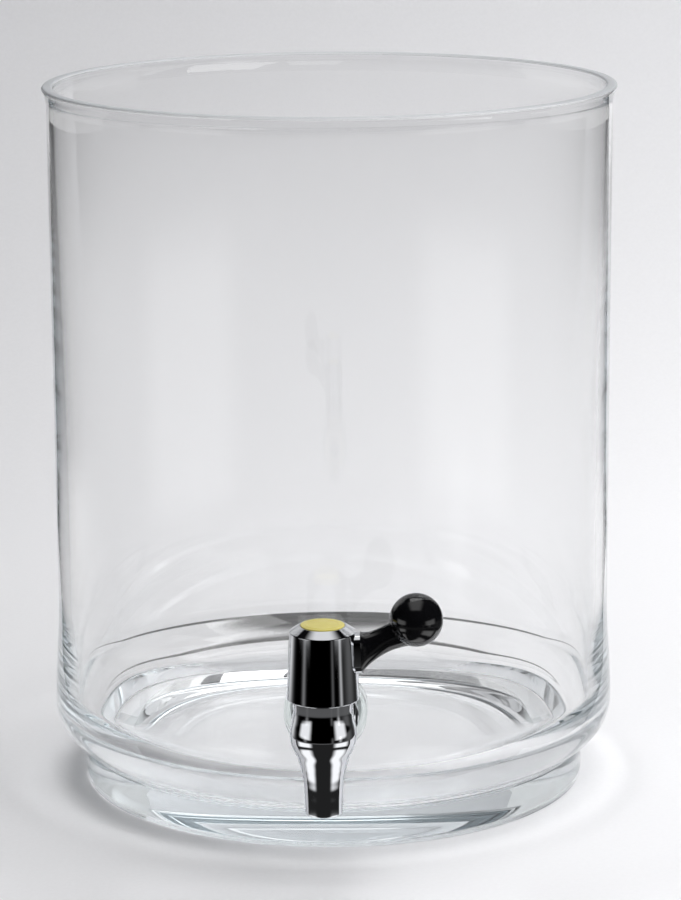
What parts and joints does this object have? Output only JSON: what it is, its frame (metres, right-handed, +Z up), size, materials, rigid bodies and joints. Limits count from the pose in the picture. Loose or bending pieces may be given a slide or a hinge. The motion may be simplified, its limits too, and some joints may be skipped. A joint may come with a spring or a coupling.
{
  "type": "beverage dispenser",
  "caption": "Tall round clear glass beverage dispenser with a flared lip, a rounded heel on a short foot, and a chromed quarter-turn tap with a black ball lever.",
  "frame": {"origin": "centre of the foot's underside, on the table", "axes": "+Z up along the vessel's axis, -Y towards the tap and the user, +X to the side that the lever points to when shut"},
  "size_m": [0.2544, 0.3025, 0.316],
  "materials": {
    "glass": "clear pressed soda-lime glass, polished, with a ground lip",
    "chrome": "bright chrome plate on cast brass",
    "silicone": "clear moulded silicone",
    "steel": "turned stainless steel",
    "nylon": "natural moulded nylon",
    "acetal": "turned white acetal",
    "rubber": "black nitrile rubber",
    "brass": "turned brass",
    "yellow_plastic": "yellow moulded plastic",
    "black_plastic": "glossy black phenolic plastic"
  },
  "bodies": {
    "vessel": {"glass_vessel": "glass", "tap_body": "chrome", "outer_gasket": "silicone", "inner_gasket": "silicone", "slip_washer": "steel", "lock_nut": "nylon", "seat_ring": "nylon", "seat_backing_ring": "rubber", "thrust_washer": "nylon", "bonnet_nut": "brass"},
    "handle": {"valve_spindle": "acetal", "lower_o_ring": "rubber", "upper_o_ring": "rubber", "handle_cap": "chrome", "handle_screw": "steel", "screw_washer": "steel", "index_disc": "yellow_plastic", "lever": "black_plastic", "lever_screw": "steel"}
  },
  "joints": [
    {"name": "tap_turn", "type": "hinge", "parent": "vessel", "child": "handle", "pos_m": [0, -0.16019, 0.065], "axis": [0, 0, -1], "range_deg": [0, 90]}
  ]
}
